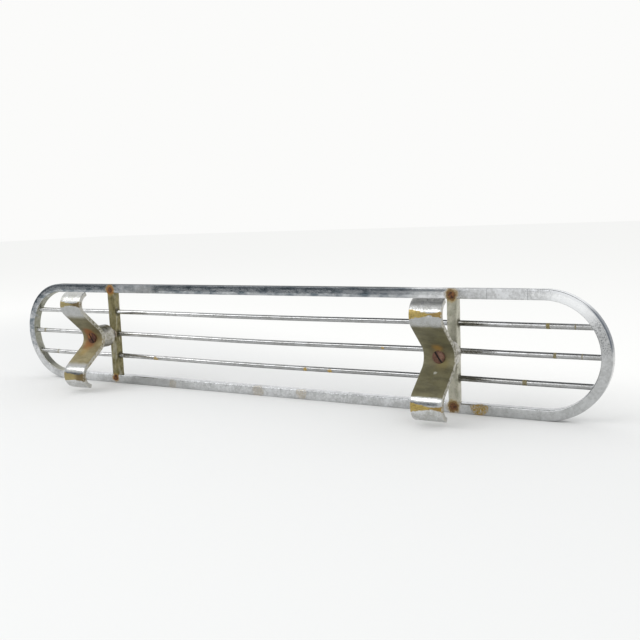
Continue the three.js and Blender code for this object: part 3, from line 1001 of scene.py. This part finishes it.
def strip_stations():
    """Stations down the strip: a point of its outer surface (reach, height) and the normal's angle."""
    stations = []

    def bend(centre, radius, first, last, inward=False):
        steps = max(4, round(abs(last - first) / math.radians(3)))
        for step in range(steps + 1):
            turn = first + (last - first) * step / steps
            side = -1 if inward else 1
            point = centre + side * radius * Vector((math.cos(turn), math.sin(turn)))
            stations.append((point, turn))

    upper = Vector((UPPER_HOOK["reach"] - CREST_RADIUS, UPPER_HOOK["height"]))
    lower = Vector((LOWER_HOOK["reach"] - CREST_RADIUS, -LOWER_HOOK["height"]))
    valley = Vector((VALLEY_REACH + VALLEY_RADIUS, 0))
    flank_up = flank_angle(UPPER_HOOK)
    flank_down = flank_angle(LOWER_HOOK)
    bend(upper, CREST_RADIUS, TIP_ANGLE, -flank_up)
    bend(valley, VALLEY_RADIUS, -flank_up, flank_down, inward=True)
    bend(lower, CREST_RADIUS, flank_down, -TIP_ANGLE)
    first, turn = stations[0]
    forward = Vector((-math.sin(turn), math.cos(turn)))
    stations.insert(0, (first + forward * TIP_LENGTH, turn))
    last, turn = stations[-1]
    forward = Vector((math.sin(turn), -math.cos(turn)))
    stations.append((last + forward * TIP_LENGTH, turn))
    return stations


def strip_reach(rise):
    """How far the strip's outer surface lies from the rim's rear face, at a height from the screw."""
    slope = flank_angle(UPPER_HOOK if rise > 0 else LOWER_HOOK)
    bend_rise = VALLEY_RADIUS * math.sin(slope)
    if abs(rise) < bend_rise:
        return VALLEY_REACH + VALLEY_RADIUS - math.sqrt(VALLEY_RADIUS ** 2 - rise ** 2)
    bend_depth = VALLEY_RADIUS * (1 - math.cos(slope))
    return VALLEY_REACH + bend_depth + (abs(rise) - bend_rise) * math.tan(slope)


def clamp_mesh(name, x):
    """The bent strip with rounded ends, a hole for the screw and a flat seat for its head."""
    stations = strip_stations()

    def ring(point, turn, inset=0.0, along=0.0):
        out = Vector((math.cos(turn), math.sin(turn)))
        forward = Vector((-out.y, out.x))
        middle = point - out * STRIP_THICKNESS / 2 + forward * along
        section = rounded_rectangle(STRIP_WIDTH - 2 * inset, STRIP_THICKNESS - 2 * inset,
                                    STRIP_EDGE - inset * 0.8, 4, 6)
        places = []
        for a, b in section:
            spot = middle + out * b
            places.append(Vector((x + a, REAR + spot.x, MIDDLE_Z + spot.y)))
        return places

    def rounded_end(station, forward, shares):
        rings = []
        for share in shares:
            inset = STRIP_EDGE * (1 - math.cos(math.asin(share)))
            rings.append(ring(*station, inset, forward * STRIP_EDGE * (1 - share)))
        return rings

    shares = (0.1, 0.4, 0.7, 1.0)
    rings = rounded_end(stations[0], -1, reversed(shares))
    rings += [ring(point, turn) for point, turn in stations[1:-1]]
    rings += rounded_end(stations[-1], 1, shares)
    seat = REAR + VALLEY_REACH
    hole = cylinder("hole", STRIP_HOLE, REAR, seat + 6 * MM, x, 48)
    head_seat = cylinder("head seat", HEAD_SEAT, seat, seat + 12 * MM, x, 64)
    return carve(loft(name, rings), [hole, head_seat], 32)


def cylinder(name, radius, low_y, high_y, x, sides):
    return turned(name, [(0, low_y), (radius, low_y), (radius, high_y), (0, high_y)], x, MIDDLE_Z, sides)


# --- the object ---
fixing_rust = fixing_finish()
plate = crossbar_finish()
boss_plate = boss_finish()
washer_steel = steel_finish()
rim_chrome = rim_finish()

add_piece("rim_bar", rim_mesh(), rim_chrome, "guard", "rim")

for level, rise in LEVELS.items():
    name = f"rod_{level}"
    rod = rod_mesh(name, ROD_SAGS[name])
    add_piece(f"{name}_bar", rod, rod_finish(name, rise), "guard", name)

for side, sign in SIDES.items():
    x = sign * CROSSBAR_X
    name = f"crossbar_{side}"
    add_piece(f"{name}_bar", crossbar_mesh(name, x), plate, "guard", name)
    for level in ("upper", "lower"):
        name = f"tenon_pin_{level}_{side}"
        add_piece(f"{name}_rust", fixing_mesh(name), fixing_rust, "guard", name)
        name = f"bar_bead_{level}_{side}"
        bead = bar_bead(name, x, LEVELS[level], BAR_BEAD_LEG)
        add_piece(name, bead, plate, "guard")
    for level, rise in LEVELS.items():
        z = MIDDLE_Z + rise * ROD_RISE
        for face, direction in (("inner", -sign), ("outer", sign)):
            wall = x + direction * BAR / 2
            name = f"rod_bead_{level}_{face}_{side}"
            bead = rod_bead(name, z, lambda _, wall=wall: wall, direction, ROD_BEAD_LEG)
            add_piece(name, bead, plate, "guard")
        name = f"end_bead_{level}_{side}"
        bead = rod_bead(name, z, inner_arc_x(sign), -sign, END_BEAD_LEG)
        add_piece(name, bead, rim_chrome, "guard")
    boss, washer, clamp, screw = f"boss_{side}", f"washer_{side}", f"clamp_{side}", f"screw_{side}"
    add_piece(f"{boss}_turned", boss_mesh(boss, x), boss_plate, "guard", boss)
    add_piece(f"{washer}_ring", washer_mesh(washer, x), washer_steel, washer, washer)
    add_piece(f"{clamp}_strip", clamp_mesh(clamp, x), clamp_finish(side), clamp, clamp)
    add_piece(f"{screw}_head", screw_mesh(screw, x), screw_finish(side), screw, screw)


# --- stage ---
def card(name, corner, edge_a, edge_b, material):
    """A flat card from a corner along two edges."""
    mesh = bpy.data.meshes.new(name)
    corner, edge_a, edge_b = Vector(corner), Vector(edge_a), Vector(edge_b)
    corners = [corner, corner + edge_a, corner + edge_a + edge_b, corner + edge_b]
    mesh.from_pydata(corners, [], [(0, 1, 2, 3)])
    mesh.materials.append(material)
    obj = in_scene(name, mesh)
    return obj


def floor_finish():
    """A pale matt floor that brightens into the backdrop well away from the object and behind it."""
    paint = Paint("floor colour")
    paint.colour = (0.83, 0.83, 0.82)
    paint.roughness = 0.9
    paint.metallic = 0.0
    paint.feed(paint.surface.inputs["Specular IOR Level"], 0.0)
    far = paint.step(paint.hypot(paint.x, paint.y), 0.7, 1.6)
    behind = paint.step(paint.minus(paint.both(paint.x, -0.35), paint.y), 0.12, 0.50)
    lit = paint.either(far, behind)
    glow = paint.mix(lit, (0.0, 0.0, 0.0), (0.14, 0.135, 0.125))
    paint.feed(paint.surface.inputs["Emission Color"], glow)
    paint.feed(paint.surface.inputs["Emission Strength"], 1.0)
    return paint.finish()


def dark_card(name, corner, edge_a, edge_b, colour):
    """A card that only shows as a reflection in the plate."""
    paint = Paint(f"{name} colour")
    glow = paint.node("Emission", {"Color": colour})[0]
    paint.feed(paint.nodes["Material Output"].inputs["Surface"], glow)
    obj = card(name, corner, edge_a, edge_b, paint.material)
    obj.visible_camera = False
    obj.visible_diffuse = False
    obj.visible_shadow = False


def build_stage():
    card("floor", (-12, -12, -0.0002), (24, 0, 0), (0, 24, 0), floor_finish())
    dark_card("dark_floor_beyond", (0.35, 1.0, 0.002), (3.6, 0, 0), (0, 2.2, 0), (0.13, 0.15, 0.165))
    dark_card("dark_room_beyond", (0.9, 3.2, 0.0), (5.0, -1.2, 0), (0, 0, 1.0), (0.18, 0.20, 0.215))
    dark_card("dark_ceiling", (-2.4, -1.9, 1.6), (3.3, 0, 0), (0, 2.5, 0), (0.115, 0.12, 0.125))


def build_room():
    """An even pale room that shows as a plain backdrop in the picture."""
    world = bpy.data.worlds.new("studio")
    bpy.context.scene.world = world
    world.use_nodes = True
    nodes, links = world.node_tree.nodes, world.node_tree.links
    room = nodes["Background"]
    room.inputs["Color"].default_value = (0.93, 0.94, 0.95, 1)
    room.inputs["Strength"].default_value = 1.0
    backdrop = nodes.new("ShaderNodeBackground")
    backdrop.inputs["Color"].default_value = (0.965, 0.965, 0.955, 1)
    rays = nodes.new("ShaderNodeLightPath")
    choose = nodes.new("ShaderNodeMixShader")
    links.new(rays.outputs["Is Camera Ray"], choose.inputs[0])
    links.new(room.outputs[0], choose.inputs[1])
    links.new(backdrop.outputs[0], choose.inputs[2])
    links.new(choose.outputs[0], nodes["World Output"].inputs["Surface"])


def softbox(name, place, size_x, size_y, power):
    light = bpy.data.lights.new(name, "AREA")
    light.shape = "RECTANGLE"
    light.size = size_x
    light.size_y = size_y
    light.energy = power
    obj = in_scene(name, light)
    obj.location = place
    aim = Vector((0, 0, 0.1))
    obj.rotation_euler = (aim - Vector(place)).to_track_quat("-Z", "Y").to_euler()
    obj.visible_camera = False


# --- camera ---
CAMERA_PLACE = (-0.5852, 0.8228, 0.2227)
CAMERA_HEADING = 210.25  # degrees, from looking along +Y
CAMERA_DOWN = 7.06
CAMERA_ROLL = -2.16
CAMERA_LENS = 46.6  # millimetres, as is the sensor
CAMERA_SENSOR = 36


def build_camera():
    camera = bpy.data.cameras.new("camera")
    camera.lens = CAMERA_LENS
    camera.sensor_width = CAMERA_SENSOR
    obj = in_scene("camera", camera)
    heading = Matrix.Rotation(math.radians(CAMERA_HEADING), 4, "Z")
    tilt = Matrix.Rotation(math.radians(90 - CAMERA_DOWN), 4, "X")
    roll = Matrix.Rotation(math.radians(CAMERA_ROLL), 4, "Z")
    obj.matrix_world = Matrix.Translation(CAMERA_PLACE) @ heading @ tilt @ roll
    bpy.context.scene.camera = obj


build_stage()
build_room()
softbox("window", (1.1, 1.5, 1.35), 2.2, 0.7, 13)
softbox("fill", (-1.4, 1.2, 1.2), 0.9, 0.9, 3)
build_camera()
bpy.context.scene.view_settings.view_transform = "Standard"
